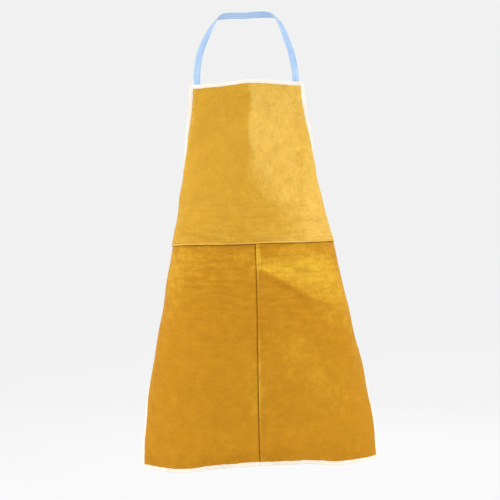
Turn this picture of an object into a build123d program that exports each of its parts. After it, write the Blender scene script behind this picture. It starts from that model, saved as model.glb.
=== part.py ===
from build123d import *

import math
import os

os.makedirs("parts", exist_ok=True)

# A split-leather welding apron in the shape it takes when worn. The origin is the nape of the neck,
# where the neck strap carries the weight. +Z is up, the wearer faces -Y, and X is symmetric.
# "Drop" is the distance down from the bib's top edge. "Along" is the distance across the sheet,
# from its centre line to the wearer's left (+X), as if the sheet lay flat.

# ---- Driving dimensions, in mm
bib_top_z = -204.0
bib_length = 385.0
skirt_length = 515.0
top_half_width = 139.0
half_width = 300.0
armhole_drop = 275.0

leather = 1.4
layer_gap = 0.3
lap_gap = 0.1
waist_lap = 15.0
waist_lap_side_inset = 10.0
centre_lap = 18.0

tape_width = 16.0
tape = 1.2
binding_width = 8.5
binding = 0.8
binding_gap = 2.0

thread_width = 0.9
thread = 0.4
thread_gap = 0.1
binding_stitch_inset = 6.0
waist_stitch_rises = (5.0, 11.0)
centre_stitch_alongs = (5.0, 13.0)

strap_foot_along = 119.0
strap_foot_length = 30.0
strap_gap = 0.6
strap_tack_drops = (9.5, 27.0)
strap_tack_half_width = 6.0
# Above the bib, on the wearer's left: each point of the strap, and the way that its face looks.
strap_route = (
    ((117.5, -181.5, -176.0), (0.20, -0.97, 0.10)),
    ((109.0, -165.0, -124.0), (0.15, -0.93, 0.33)),
    ((93.0, -131.0, -78.0), (0.25, -0.72, 0.64)),
    ((77.0, -88.0, -38.0), (0.50, -0.40, 0.77)),
    ((65.0, -50.0, -15.0), (0.75, 0.05, 0.65)),
    ((47.0, -20.0, -4.0), (0.70, 0.60, 0.35)),
    ((23.0, -4.0, 0.0), (0.33, 0.92, 0.20)),
)
nape = ((0.0, 0.0, 0.0), (0.0, 0.99, 0.15))

tie_drop = 287.0
tie_lap = 32.0
tie_tack_length = 14.0
tie_tack_half_height = 6.0
knot_size = (26.0, 16.0, 24.0)
knot_behind_tie = 5.0
loop_length = 105.0
loop_bulge = 22.0
loop_neck = 3.0
loop_droop = 38.0
loop_behind_tie = 14.0
tail_length = 330.0
tail_sway = 12.0
tail_spacing = 19.0
tail_gap = 1.0

# ---- Worn shape: drop, front Y, front radius, front arc's half length, flank radius
form_stations = (
    (0.0, -200.0, 600.0, 70.0, 400.0),
    (78.0, -204.0, 420.0, 80.0, 250.0),
    (139.0, -209.0, 320.0, 92.0, 124.0),
    (200.0, -214.0, 268.0, 112.0, 92.0),
    (275.0, -221.0, 266.0, 139.0, 88.0),
    (385.0, -231.0, 309.0, 162.0, 91.0),
    (520.0, -239.0, 400.0, 190.0, 80.0),
    (657.0, -245.0, 490.0, 216.0, 76.0),
    (780.0, -250.0, 540.0, 236.0, 105.0),
    (900.0, -254.0, 587.0, 256.0, 168.0),
)
bib_upper_drops = [armhole_drop * i / 22 for i in range(23)]
bib_lower_drops = (armhole_drop, 295.0, 320.0, 345.0, bib_length - waist_lap, bib_length)
skirt_drops = [bib_length + skirt_length * i / 20 for i in range(21)]

# ---- Derived dimensions
hem_drop = bib_length + skirt_length
armhole_flare = half_width - top_half_width
armhole_radius = (armhole_flare**2 + armhole_drop**2) / (2 * armhole_flare)
skirt_left_face = -leather - layer_gap
skirt_right_face = skirt_left_face - leather - lap_gap
skirt_binding_top = bib_length + binding_gap


def form_at(drop):
    """Front Y, front radius, front arc and flank radius at a drop, on a smooth curve through the stations."""
    last = len(form_stations) - 2
    low = max(i for i in range(last + 1) if form_stations[i][0] <= drop or i == 0)
    rows = form_stations[max(low - 1, 0) : low + 3]
    start, end = form_stations[low], form_stations[low + 1]
    before = rows[0]
    after = form_stations[min(low + 2, last + 1)]
    span = end[0] - start[0]
    t = (drop - start[0]) / span
    values = []
    for k in range(1, 5):
        slope_in = (end[k] - before[k]) / (end[0] - before[0]) * span
        slope_out = (after[k] - start[k]) / (after[0] - start[0]) * span
        value = (2 * t**3 - 3 * t**2 + 1) * start[k] + (t**3 - 2 * t**2 + t) * slope_in
        value += (3 * t**2 - 2 * t**3) * end[k] + (t**3 - t**2) * slope_out
        values.append(value)
    return values


def edge_along(drop):
    """The sheet's half width at a drop: the armhole is an arc, and below it the sides are straight."""
    if drop >= armhole_drop:
        return half_width
    return top_half_width + armhole_radius - math.sqrt(armhole_radius**2 - drop**2)


def edge_stretch(drop):
    """How much longer a width square to the sheet's edge is when it is measured across the sheet."""
    if drop >= armhole_drop:
        return 1.0
    return armhole_radius / math.sqrt(armhole_radius**2 - drop**2)


def at(along, drop, face):
    """The plan point at a distance across the sheet, moved out from the leather's front face."""
    front_y, front_radius, front_arc, flank_radius = form_at(drop)
    side = math.copysign(1.0, along)
    reach = abs(along)
    turn_at_flank = front_arc / front_radius
    if reach <= front_arc:
        turn = reach / front_radius
        x = (front_radius + face) * math.sin(turn)
        y = front_y + front_radius - (front_radius + face) * math.cos(turn)
        return (side * x, y)
    turn = turn_at_flank + (reach - front_arc) / flank_radius
    centre_x = (front_radius - flank_radius) * math.sin(turn_at_flank)
    centre_y = front_y + front_radius - (front_radius - flank_radius) * math.cos(turn_at_flank)
    x = centre_x + (flank_radius + face) * math.sin(turn)
    y = centre_y - (flank_radius + face) * math.cos(turn)
    return (side * x, y)


def plan_face(drop, start, end, outer, inner):
    """One plan section of a strip of sheet, from start to end across it, between two faces."""
    front_arc = form_at(drop)[2]
    stops = [start] + [s for s in (-front_arc, front_arc) if start < s < end] + [end]
    spans = list(zip(stops, stops[1:]))
    with BuildSketch(Plane.XY.offset(bib_top_z - drop)) as section:
        with BuildLine():
            for a, b in spans:
                ThreePointArc(at(a, drop, outer), at((a + b) / 2, drop, outer), at(b, drop, outer))
            Line(at(end, drop, outer), at(end, drop, inner))
            for a, b in reversed(spans):
                ThreePointArc(at(b, drop, inner), at((a + b) / 2, drop, inner), at(a, drop, inner))
            Line(at(start, drop, inner), at(start, drop, outer))
        make_face()
    return section.sketch.face()


def sheet(drops, start, end, outer, inner):
    """A strip of sheet through the given drops. Start and end are functions of the drop."""
    sections = [plan_face(drop, start(drop), end(drop), outer, inner) for drop in drops]
    with BuildPart() as strip:
        loft(sections)
    return strip.part


def fixed(value):
    return lambda drop: value


def between(drops, low, high):
    """The drops from low to high, with those two as its ends."""
    return [low] + [d for d in drops if low < d < high] + [high]


def export(part, name):
    part.label = name
    export_step(part, f"parts/{name}.step")


# ---- Leather panels
with BuildPart() as bib_panel:
    add(sheet(bib_upper_drops, lambda d: -edge_along(d), edge_along, 0, -leather))
    add(sheet(bib_lower_drops, fixed(-half_width), fixed(half_width), 0, -leather))
export(bib_panel.part, "bib_panel")

tuck_drops = (bib_length - waist_lap, bib_length)
tuck_along = half_width - waist_lap_side_inset
with BuildPart() as skirt_panel_left:
    face = (skirt_left_face, skirt_left_face - leather)
    add(sheet(skirt_drops, fixed(0), fixed(half_width), *face))
    add(sheet(tuck_drops, fixed(0), fixed(tuck_along), *face))
export(skirt_panel_left.part, "skirt_panel_left")

with BuildPart() as skirt_panel_right:
    face = (skirt_right_face, skirt_right_face - leather)
    add(sheet(skirt_drops, fixed(-half_width), fixed(centre_lap), *face))
    add(sheet(tuck_drops, fixed(-tuck_along), fixed(centre_lap), *face))
export(skirt_panel_right.part, "skirt_panel_right")


# ---- Edge bindings: a tape folded over each edge
def binding_start(drop):
    return edge_along(drop) - binding_width * edge_stretch(drop)


def binding_end(drop):
    return edge_along(drop) + binding * edge_stretch(drop)


def to_side(side, low_along, high_along):
    """The ends of a strip on one side of the centre line, as functions of the drop."""
    if side > 0:
        return low_along, high_along
    return (lambda d: -high_along(d)), (lambda d: -low_along(d))


top_bound = top_half_width + binding
with BuildPart() as top_binding:
    top_drops = (-binding, binding_width)
    add(sheet(top_drops, fixed(-top_bound), fixed(top_bound), binding, -leather - binding))
    add(bib_panel.part, mode=Mode.SUBTRACT)
export(top_binding.part, "top_binding")

bib_thick = (binding, -leather - binding)
for side, name in ((1, "left"), (-1, "right")):
    ends = to_side(side, binding_start, binding_end)
    with BuildPart() as bib_binding:
        add(sheet(between(bib_upper_drops, binding_width, armhole_drop), *ends, *bib_thick))
        add(sheet(bib_lower_drops, *ends, *bib_thick))
        add(bib_panel.part, mode=Mode.SUBTRACT)
    export(bib_binding.part, f"bib_binding_{name}")

hem_binding_drop = hem_drop - binding_width
side_drops = between(skirt_drops, skirt_binding_top, hem_binding_drop)
for side, name, panel, face in (
    (1, "left", skirt_panel_left, skirt_left_face),
    (-1, "right", skirt_panel_right, skirt_right_face),
):
    ends = to_side(side, binding_start, binding_end)
    with BuildPart() as skirt_binding:
        add(sheet(side_drops, *ends, face + binding, face - leather - binding))
        add(panel.part, mode=Mode.SUBTRACT)
    export(skirt_binding.part, f"skirt_binding_{name}")

hem_bound = half_width + binding
with BuildPart() as hem_binding:
    hem_faces = (skirt_left_face + binding, skirt_right_face - leather - binding)
    add(sheet((hem_binding_drop, hem_drop + binding), fixed(-hem_bound), fixed(hem_bound), *hem_faces))
    add(skirt_panel_left.part, mode=Mode.SUBTRACT)
    add(skirt_panel_right.part, mode=Mode.SUBTRACT)
    lap_faces = (skirt_left_face - leather / 2, skirt_right_face - leather / 2)
    add(sheet((hem_binding_drop, hem_drop), fixed(0), fixed(centre_lap), *lap_faces), mode=Mode.SUBTRACT)
export(hem_binding.part, "hem_binding")


# ---- Thread: each row of stitches is one run on the front face
def thread_row(drop, half_length, face):
    """A level row of thread."""
    drops = (drop - thread_width / 2, drop + thread_width / 2)
    return sheet(drops, fixed(-half_length), fixed(half_length), face + thread_gap + thread, face + thread_gap)


def thread_run(drops, along, face):
    """A row of thread down the sheet, where along is a function of the drop."""
    half = thread_width / 2
    low = lambda d: along(d) - half * edge_stretch(d)
    high = lambda d: along(d) + half * edge_stretch(d)
    return sheet(drops, low, high, face + thread_gap + thread, face + thread_gap)


with BuildPart() as waist_seam_stitching:
    for rise in waist_stitch_rises:
        add(thread_row(bib_length - rise, half_width - binding_width - 1, 0))
export(waist_seam_stitching.part, "waist_seam_stitching")

seam_drops = between(skirt_drops, skirt_binding_top + 1, hem_binding_drop - 1)
with BuildPart() as centre_seam_stitching:
    for along in centre_stitch_alongs:
        add(thread_run(seam_drops, fixed(along), skirt_left_face))
export(centre_seam_stitching.part, "centre_seam_stitching")

with BuildPart() as top_binding_stitching:
    add(thread_row(binding_stitch_inset, top_half_width - 2, binding))
export(top_binding_stitching.part, "top_binding_stitching")

for side, name in ((1, "left"), (-1, "right")):
    along = lambda d: side * (edge_along(d) - binding_stitch_inset * edge_stretch(d))
    with BuildPart() as bib_binding_stitching:
        add(thread_run(between(bib_upper_drops, binding_width + 1, armhole_drop), along, binding))
        add(thread_run(bib_lower_drops, along, binding))
    export(bib_binding_stitching.part, f"bib_binding_stitching_{name}")

for side, name, face in ((1, "left", skirt_left_face), (-1, "right", skirt_right_face)):
    along = fixed(side * (half_width - binding_stitch_inset))
    with BuildPart() as skirt_binding_stitching:
        add(thread_run(side_drops, along, face + binding))
    export(skirt_binding_stitching.part, f"skirt_binding_stitching_{name}")

with BuildPart() as hem_binding_stitching:
    add(thread_row(hem_drop - binding_stitch_inset, half_width - 2, skirt_left_face + binding))
export(hem_binding_stitching.part, "hem_binding_stitching")


def thread_box(drops, centre_along, half_length):
    """A stitched box on the bib's front face."""
    faces = (thread_gap + thread, thread_gap)
    middle = (drops[0] + drops[1]) / 2
    inner_drops = (drops[0] + thread_width, drops[1] - thread_width)
    inner_half = half_length - thread_width
    with BuildPart() as box:
        add(sheet(drops, fixed(centre_along - half_length), fixed(centre_along + half_length), *faces))
        hole = fixed(centre_along - inner_half), fixed(centre_along + inner_half)
        add(sheet(inner_drops, *hole, leather, -leather), mode=Mode.SUBTRACT)
    return box.part


for side, name in ((1, "left"), (-1, "right")):
    with BuildPart() as strap_tack:
        add(thread_box(strap_tack_drops, side * strap_foot_along, strap_tack_half_width))
    export(strap_tack.part, f"strap_tack_{name}")

tie_tack_drops = (tie_drop - tie_tack_half_height, tie_drop + tie_tack_half_height)
tie_tack_along = half_width - binding_width - 3 - tie_tack_length / 2
for side, name in ((1, "left"), (-1, "right")):
    with BuildPart() as tie_tack:
        add(thread_box(tie_tack_drops, side * tie_tack_along, tie_tack_length / 2))
    export(tie_tack.part, f"tie_tack_{name}")


# ---- Neck strap: one tape from behind the bib's top edge, over the shoulders and round the nape
def strap_section(here, before, after, look):
    """The tape's cross-section at one point of its route."""
    way = (after - before).normalized()
    across = way.cross(look).normalized()
    with BuildSketch(Plane(origin=here, x_dir=across, z_dir=way)) as section:
        Rectangle(tape_width, tape)
    return section.sketch.face()


strap_face = -leather - binding - strap_gap - tape / 2
foot_turn = top_half_width / form_stations[0][2]
foot_look = Vector(math.sin(foot_turn), -math.cos(foot_turn), 0)
half_route = []
for drop in (strap_foot_length, strap_foot_length / 2, 0.0):
    half_route.append((Vector(*at(strap_foot_along, drop, strap_face), bib_top_z - drop), foot_look))
half_route += [(Vector(*point), Vector(*look)) for point, look in strap_route]
other_half = [(Vector(-p.X, p.Y, p.Z), Vector(-n.X, n.Y, n.Z)) for p, n in reversed(half_route)]
route = half_route + [(Vector(*nape[0]), Vector(*nape[1]))] + other_half
points = [point for point, look in route]
starts = [points[0]] + points[:-1]
stops = points[1:] + [points[-1]]
with BuildPart() as neck_strap:
    loft([strap_section(p, a, b, n) for (p, n), a, b in zip(route, starts, stops)])
export(neck_strap.part, "neck_strap")


# ---- Waist ties: from the bib's side corners round the wearer's back to a bow
def back_arc(drop):
    """Centre Y, radius and first turn of the arc that the tie follows behind the wearer."""
    front_radius, front_arc, flank_radius = form_at(drop)[1:]
    turn = front_arc / front_radius + (half_width - front_arc) / flank_radius
    edge_x, edge_y = at(half_width, drop, 0)
    radius = edge_x / math.sin(turn)
    return edge_y + radius * math.cos(turn), radius, turn


def back_at(turn, drop, face):
    centre_y, radius, first = back_arc(drop)
    return ((radius + face) * math.sin(turn), centre_y - (radius + face) * math.cos(turn))


def tie_section(drop, outer, inner):
    """A plan section of the wearer's left tie."""
    start = half_width - tie_lap
    middle = half_width - tie_lap / 2
    first = back_arc(drop)[2]
    last = math.pi - math.asin(knot_size[0] / 2 / back_arc(drop)[1])
    half_way = (first + last) / 2
    with BuildSketch(Plane.XY.offset(bib_top_z - drop)) as section:
        with BuildLine():
            ThreePointArc(at(start, drop, outer), at(middle, drop, outer), at(half_width, drop, outer))
            ThreePointArc(back_at(first, drop, outer), back_at(half_way, drop, outer), back_at(last, drop, outer))
            Line(back_at(last, drop, outer), back_at(last, drop, inner))
            ThreePointArc(back_at(last, drop, inner), back_at(half_way, drop, inner), back_at(first, drop, inner))
            ThreePointArc(at(half_width, drop, inner), at(middle, drop, inner), at(start, drop, inner))
            Line(at(start, drop, inner), at(start, drop, outer))
        make_face()
    return section.sketch.face()


tie_face = -leather - binding - thread_gap
with BuildPart() as waist_tie_left:
    tie_drops = (tie_drop - tape_width / 2, tie_drop, tie_drop + tape_width / 2)
    loft([tie_section(drop, tie_face, tie_face - tape) for drop in tie_drops])
export(waist_tie_left.part, "waist_tie_left")

with BuildPart() as waist_tie_right:
    add(waist_tie_left.part)
    mirror(about=Plane.YZ, mode=Mode.REPLACE)
export(waist_tie_right.part, "waist_tie_right")

tie_back_y = back_at(math.pi, tie_drop, tie_face)[1]
knot_z = bib_top_z - tie_drop
knot_centre = Vector(0, tie_back_y + knot_behind_tie, knot_z)
with BuildPart() as tie_knot:
    with Locations(knot_centre):
        Box(*knot_size)
    fillet(tie_knot.edges(), radius=knot_size[1] / 4)
    add(waist_tie_left.part, mode=Mode.SUBTRACT)
    add(waist_tie_right.part, mode=Mode.SUBTRACT)
export(tie_knot.part, "tie_knot")

droop = math.radians(loop_droop)
for side, name in ((1, "left"), (-1, "right")):
    out = Vector(side * math.cos(droop), 0, -math.sin(droop))
    start = Vector(side * knot_size[0] / 2, tie_back_y + loop_behind_tie, knot_z)
    with BuildPart() as bow_loop:
        with BuildSketch(Plane(origin=start, x_dir=out, z_dir=out.cross(Vector(0, 1, 0)))):
            for shrink, mode in ((0.0, Mode.ADD), (tape, Mode.SUBTRACT)):
                with BuildSketch(mode=Mode.PRIVATE) as outline:
                    Circle(loop_neck - shrink)
                    with Locations((loop_length - loop_bulge / 2, 0)):
                        Circle(loop_bulge / 2 - shrink)
                    make_hull()
                add(outline.sketch, mode=mode)
        extrude(amount=tape_width / 2, both=True)
        add(tie_knot.part, mode=Mode.SUBTRACT)
        add(waist_tie_left.part, mode=Mode.SUBTRACT)
        add(waist_tie_right.part, mode=Mode.SUBTRACT)
    export(bow_loop.part, f"bow_loop_{name}")

tail_top = knot_z - knot_size[2] / 2 - tail_gap
tail_y = knot_centre.Y - tape / 2
for side, name in ((1, "left"), (-1, "right")):
    with BuildPart() as tie_tail:
        with BuildSketch(Plane.YZ.offset(side * tail_spacing / 2)):
            with BuildLine():
                for y in (tail_y, tail_y + tape):
                    ThreePointArc(
                        (y, tail_top),
                        (y + tail_sway, tail_top - tail_length / 2),
                        (y, tail_top - tail_length),
                    )
                Line((tail_y, tail_top), (tail_y + tape, tail_top))
                Line((tail_y, tail_top - tail_length), (tail_y + tape, tail_top - tail_length))
            make_face()
        extrude(amount=tape_width / 2, both=True)
    export(tie_tail.part, f"tie_tail_{name}")
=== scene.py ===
import math

import bpy
import numpy as np
from mathutils import Matrix, Vector


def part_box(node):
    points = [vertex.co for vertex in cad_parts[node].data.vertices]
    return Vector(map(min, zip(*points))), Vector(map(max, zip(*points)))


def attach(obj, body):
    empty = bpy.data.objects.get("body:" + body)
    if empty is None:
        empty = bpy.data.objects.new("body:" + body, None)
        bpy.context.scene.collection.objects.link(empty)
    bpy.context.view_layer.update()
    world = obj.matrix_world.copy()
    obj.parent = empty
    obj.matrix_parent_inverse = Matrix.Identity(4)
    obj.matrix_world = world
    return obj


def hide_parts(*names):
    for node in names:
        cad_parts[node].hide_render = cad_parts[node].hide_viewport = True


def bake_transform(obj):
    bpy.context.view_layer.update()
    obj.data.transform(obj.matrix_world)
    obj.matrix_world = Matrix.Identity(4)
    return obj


# A split-leather welding apron, in metres and in the frame's own axes: the origin is the nape,
# +Z is up and the wearer faces -Y. "Drop" is the distance down from the bib's top edge, "along" the
# distance across the sheet from its centre line, and "face" the height over the leather's front face.
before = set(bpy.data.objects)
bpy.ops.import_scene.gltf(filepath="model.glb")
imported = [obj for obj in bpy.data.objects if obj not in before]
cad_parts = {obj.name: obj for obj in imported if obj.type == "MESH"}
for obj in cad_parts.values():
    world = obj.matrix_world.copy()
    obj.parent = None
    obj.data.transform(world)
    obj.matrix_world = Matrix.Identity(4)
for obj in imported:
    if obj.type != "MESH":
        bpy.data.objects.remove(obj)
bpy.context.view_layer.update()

# ---- Sizes of the cut pieces, as in the CAD model
BIB_TOP_Z = -0.204
BIB_LENGTH = 0.385
HEM_DROP = 0.900
TOP_HALF = 0.139
HALF = 0.300
ARMHOLE_DROP = 0.275
LEATHER = 0.0014
WAIST_LAP = 0.015
CENTRE_LAP = 0.018
BINDING_WIDTH = 0.0085
BINDING = 0.0008
TAPE_WIDTH = 0.016
TAPE = 0.0012
LAYER_STEP = 0.0017
TOP_CORNER_RADIUS = 0.010
TIE_CORNER_RADIUS = 0.012
HEM_CORNER_RADIUS = 0.006
STITCH_PITCH = 0.0042

# A full turn in radians, near enough for the phases of random waves
TURN = 6.28

# Faces of the three layers that lap at the seams, over the bib's front face
BIB_FACE = 0.0
SKIRT_LEFT_FACE = -LAYER_STEP
SKIRT_RIGHT_FACE = SKIRT_LEFT_FACE - LEATHER - 0.0001

# The worn shape: drop, front Y, front radius, front arc's half length, flank radius
FORM = np.array((
    (0.000, -0.200, 0.600, 0.070, 0.400),
    (0.078, -0.204, 0.420, 0.080, 0.250),
    (0.139, -0.209, 0.320, 0.092, 0.124),
    (0.200, -0.214, 0.268, 0.112, 0.092),
    (0.275, -0.221, 0.266, 0.139, 0.088),
    (0.385, -0.231, 0.309, 0.162, 0.091),
    (0.520, -0.239, 0.400, 0.190, 0.080),
    (0.657, -0.245, 0.490, 0.216, 0.076),
    (0.780, -0.250, 0.540, 0.236, 0.105),
    (0.900, -0.254, 0.587, 0.256, 0.168),
))


# ---- The worn shape
def smooth(low, high, x):
    t = np.clip((np.asarray(x, float) - low) / (high - low), 0, 1)
    return t * t * (3 - 2 * t)


def bump(x, centre, width):
    return np.exp(-(((np.asarray(x, float) - centre) / width) ** 2))


def form_at(drop):
    """Front Y, front radius, front arc and flank radius at each drop, on a smooth curve."""
    drop = np.asarray(drop, float)
    low = np.clip(np.searchsorted(FORM[:, 0], drop, side="right") - 1, 0, len(FORM) - 2)
    before, start = FORM[np.maximum(low - 1, 0)], FORM[low]
    end, after = FORM[low + 1], FORM[np.minimum(low + 2, len(FORM) - 1)]
    span = (end[..., 0] - start[..., 0])[..., None]
    t = (drop - start[..., 0])[..., None] / span
    slope_in = (end - before) / (end[..., :1] - before[..., :1]) * span
    slope_out = (after - start) / (after[..., :1] - start[..., :1]) * span
    values = (2 * t**3 - 3 * t**2 + 1) * start + (t**3 - 2 * t**2 + t) * slope_in
    values = values + (3 * t**2 - 2 * t**3) * end + (t**3 - t**2) * slope_out
    return values[..., 1], values[..., 2], values[..., 3], values[..., 4]


# Soft creases in the leather: along and drop at each end, height and half width
CREASES = (
    ((-0.160, 0.418), (-0.040, 0.428), 0.0016, 0.0085),
    ((-0.205, 0.452), (-0.095, 0.470), 0.0013, 0.0100),
    ((-0.120, 0.492), (-0.020, 0.500), 0.0012, 0.0100),
    ((0.012, 0.412), (0.110, 0.404), 0.0019, 0.0070),
    ((0.095, 0.440), (0.210, 0.428), 0.0013, 0.0090),
    ((0.010, 0.448), (0.150, 0.524), 0.0030, 0.0080),
    ((0.040, 0.505), (0.150, 0.585), 0.0016, 0.0100),
    ((-0.175, 0.560), (-0.070, 0.548), 0.0010, 0.0110),
    ((-0.095, 0.330), (-0.215, 0.300), 0.0014, 0.0110),
    ((0.090, 0.335), (0.210, 0.298), 0.0014, 0.0110),
    ((-0.060, 0.360), (-0.160, 0.352), 0.0010, 0.0080),
    ((0.050, 0.362), (0.150, 0.350), 0.0010, 0.0080),
    ((-0.112, 0.030), (-0.060, 0.120), 0.0011, 0.0140),
    ((0.112, 0.030), (0.055, 0.125), 0.0011, 0.0140),
    ((-0.255, 0.640), (-0.190, 0.700), 0.0020, 0.0150),
    ((0.250, 0.650), (0.190, 0.725), 0.0018, 0.0150),
)


def creases(along, drop):
    total = np.zeros(np.broadcast(along, drop).shape)
    for (u0, v0), (u1, v1), height, half_width in CREASES:
        du, dv = u1 - u0, v1 - v0
        length = math.hypot(du, dv)
        t = ((along - u0) * du + (drop - v0) * dv) / length**2
        across = ((along - u0) * dv - (drop - v0) * du) / length + 0.10 * length * (t - 0.5) ** 2
        ends = smooth(-0.15, 0.30, t) * (1 - smooth(0.70, 1.15, t))
        ridge = np.exp(-((across / half_width) ** 2))
        hollow = np.exp(-(((across - 1.7 * half_width) / half_width) ** 2))
        total += height * ends * (ridge - 0.7 * hollow)
    return total


def ripples(along, drop):
    """Broad unevenness of a hide that never hangs quite flat."""
    total = np.zeros(np.broadcast(along, drop).shape)
    rng = np.random.default_rng(11)
    for k in range(14):
        wave = rng.uniform(0.07, 0.22)
        angle = rng.uniform(-0.5, 0.5) + (math.pi / 2 if k % 3 else 0)
        phase = rng.uniform(0, 2 * math.pi)
        swing = 2 * math.pi / wave * (along * math.cos(angle) + drop * math.sin(angle))
        total += 0.0042 * wave * np.sin(swing + phase) * (1 + 0.5 * np.sin(9 * along + 7 * drop + phase))
    return total * (1 - 0.75 * smooth(0.55, 1.0, np.abs(along) / edge_along(drop)))


def swell(along, drop):
    """How far the leather stands out from the plain worn shape."""
    low = smooth(0.48, 0.90, drop)
    # The skirt swells forward over each leg and sinks in between them
    out = 0.012 * low * (bump(along, -0.190, 0.085) + bump(along, 0.195, 0.080))
    out = out - 0.006 * low * bump(along, 0.004, 0.060)
    # Its side edges waver, and the bib's top edge stands off the chest
    edge = smooth(0.235, 0.300, np.abs(along))
    out = out + 0.0010 * edge * smooth(0.40, 0.55, drop) * np.sin(2 * math.pi * drop / 0.135 + np.sign(along))
    out = out + 0.0035 * smooth(0.08, 0.0, drop) * bump(along, 0.0, 0.080)
    return out + creases(along, drop) + ripples(along, drop)


def lift(along, drop):
    """How far the leather is pulled up or hangs down from its drop."""
    # The top edge peaks near its middle
    top = (0.0056 * bump(along, 0.008, 0.055) - 0.0012 * bump(along, 0.125, 0.05)) * smooth(0.15, 0.0, drop)
    # The hem hangs lower over the legs than between them, and lowest over the wearer's right leg
    hem = 0.0037 * bump(along, 0.0, 0.07) - 0.0105 * smooth(0.09, 0.20, np.abs(along))
    hem = hem - 0.0055 * bump(along, -0.170, 0.11) - 0.0060 * bump(along, 0.0, 0.12)
    # The waist seam wanders a little and rides up on the wearer's right
    waist = 0.0006 * np.sin(along * 31 + 0.6) * bump(drop, BIB_LENGTH, 0.02)
    waist = waist + 0.0025 * smooth(0.02, -0.18, along) * bump(drop, BIB_LENGTH, 0.10)
    return top + hem * smooth(0.60, 0.90, drop) + waist


def seam_drift(along, drop):
    """The centre seam hangs a little to the wearer's left of the middle at the waist."""
    return 0.0075 * bump(along, 0.0, 0.12) * smooth(0.30, 0.385, drop) * smooth(0.88, 0.42, drop)


def place(along, drop, face):
    """The points in space of places on the sheet."""
    along, drop, face = np.broadcast_arrays(np.asarray(along, float), drop, face)
    front_y, front_radius, front_arc, flank_radius = form_at(drop)
    out = face + swell(along, drop)
    reach = np.abs(along)
    turn_at_flank = front_arc / front_radius
    flank = reach > front_arc
    turn = np.where(flank, turn_at_flank + (reach - front_arc) / flank_radius, reach / front_radius)
    offset = np.where(flank, front_radius - flank_radius, 0.0)
    radius = np.where(flank, flank_radius, front_radius) + out
    x = offset * np.sin(turn_at_flank) + radius * np.sin(turn)
    y = front_y + front_radius - offset * np.cos(turn_at_flank) - radius * np.cos(turn)
    z = BIB_TOP_Z - drop + lift(along, drop)
    x = np.copysign(1.0, along) * x + seam_drift(along, drop)
    return np.stack([x, y, z], axis=-1)


# ---- Outline of the cut: the sheet's half width at each drop
def armhole(drop):
    flare = HALF - TOP_HALF
    radius = (flare**2 + ARMHOLE_DROP**2) / (2 * flare)
    arc = TOP_HALF + radius - np.sqrt(radius**2 - np.minimum(drop, ARMHOLE_DROP) ** 2)
    return np.where(drop < ARMHOLE_DROP, arc, HALF)


def edge_along(drop):
    """The half width, with its top, tie and hem corners rounded."""
    drop = np.asarray(drop, float)
    steps = np.linspace(-1, 1, 9) * TIE_CORNER_RADIUS
    near = np.abs(drop - ARMHOLE_DROP) < 2 * TIE_CORNER_RADIUS
    rounded = sum(armhole(drop + s) for s in steps) / len(steps)
    edge = np.where(near, rounded, armhole(drop))
    for radius, depth in ((TOP_CORNER_RADIUS, drop), (HEM_CORNER_RADIUS, HEM_DROP - drop)):
        short = radius - np.sqrt(np.maximum(radius**2 - np.maximum(radius - depth, 0) ** 2, 0))
        edge = edge - np.where(depth < radius, short, 0)
    return edge


# ---- Mesh helpers
def new_mesh(name, points, faces, uv=None, smooth_shading=True):
    """A mesh object from points, faces and one (along, drop) pair for each point."""
    mesh = bpy.data.meshes.new(name)
    mesh.from_pydata(np.asarray(points, float).tolist(), [], faces)
    if uv is not None:
        layer = mesh.uv_layers.new(name="flat")
        corner = np.empty(len(mesh.loops), int)
        mesh.loops.foreach_get("vertex_index", corner)
        layer.data.foreach_set("uv", np.asarray(uv, np.float32)[corner].ravel())
    mesh.polygons.foreach_set("use_smooth", [smooth_shading] * len(mesh.polygons))
    mesh.update()
    piece = bpy.data.objects.new(name, mesh)
    bpy.context.scene.collection.objects.link(piece)
    return piece


def grid_faces(rows, columns, start=0, wrap=False, flip=False):
    faces = []
    last = columns if wrap else columns - 1
    for r in range(rows - 1):
        for c in range(last):
            a, b = start + r * columns + c, start + r * columns + (c + 1) % columns
            quad = (a, b, b + columns, a + columns)
            faces.append(quad[::-1] if flip else quad)
    return faces


# Where the nap has been brushed, with painted light and shade of broad folds and creases: along and drop of
# the middle, half sizes, slant in degrees and how much paler (or darker, if negative) it looks there
BRUSHED_AND_FOLD_LIGHT_PATCHES = (
    (-0.230, 0.440, 0.080, 0.110, 0, 0.45),
    (-0.150, 0.420, 0.070, 0.050, 0, 0.20),
    (-0.060, 0.570, 0.090, 0.070, 0, -0.25),
    (-0.130, 0.720, 0.120, 0.060, 10, -0.15),
    (-0.010, 0.730, 0.030, 0.070, 0, 0.30),
    (-0.120, 0.890, 0.160, 0.055, 0, -0.35),
    (0.170, 0.890, 0.120, 0.045, 0, -0.35),
    (0.075, 0.490, 0.085, 0.007, 28, -0.75),
    (0.006, 0.412, 0.006, 0.024, 0, 0.90),
    (0.020, 0.445, 0.020, 0.006, 14, 0.70),
    (0.120, 0.440, 0.120, 0.045, 6, 0.55),
    (0.190, 0.500, 0.120, 0.075, 30, 0.55),
    (0.060, 0.452, 0.060, 0.018, 22, 0.40),
    (0.030, 0.400, 0.030, 0.012, 0, -0.30),
    (0.090, 0.550, 0.080, 0.030, 28, -0.35),
    (0.190, 0.660, 0.070, 0.040, 20, -0.15),
    (0.095, 0.640, 0.080, 0.050, 30, 0.25),
    (0.150, 0.720, 0.120, 0.055, 30, 0.22),
    (0.035, 0.880, 0.040, 0.040, 0, -0.30),
    (0.110, 0.890, 0.050, 0.040, -40, 0.25),
    (-0.170, 0.350, 0.080, 0.030, 0, -0.25),
    (0.200, 0.310, 0.060, 0.070, 20, 0.10),
    (0.150, 0.160, 0.060, 0.120, 0, -0.18),
    (-0.275, 0.640, 0.040, 0.160, 0, -0.40),
)


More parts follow.
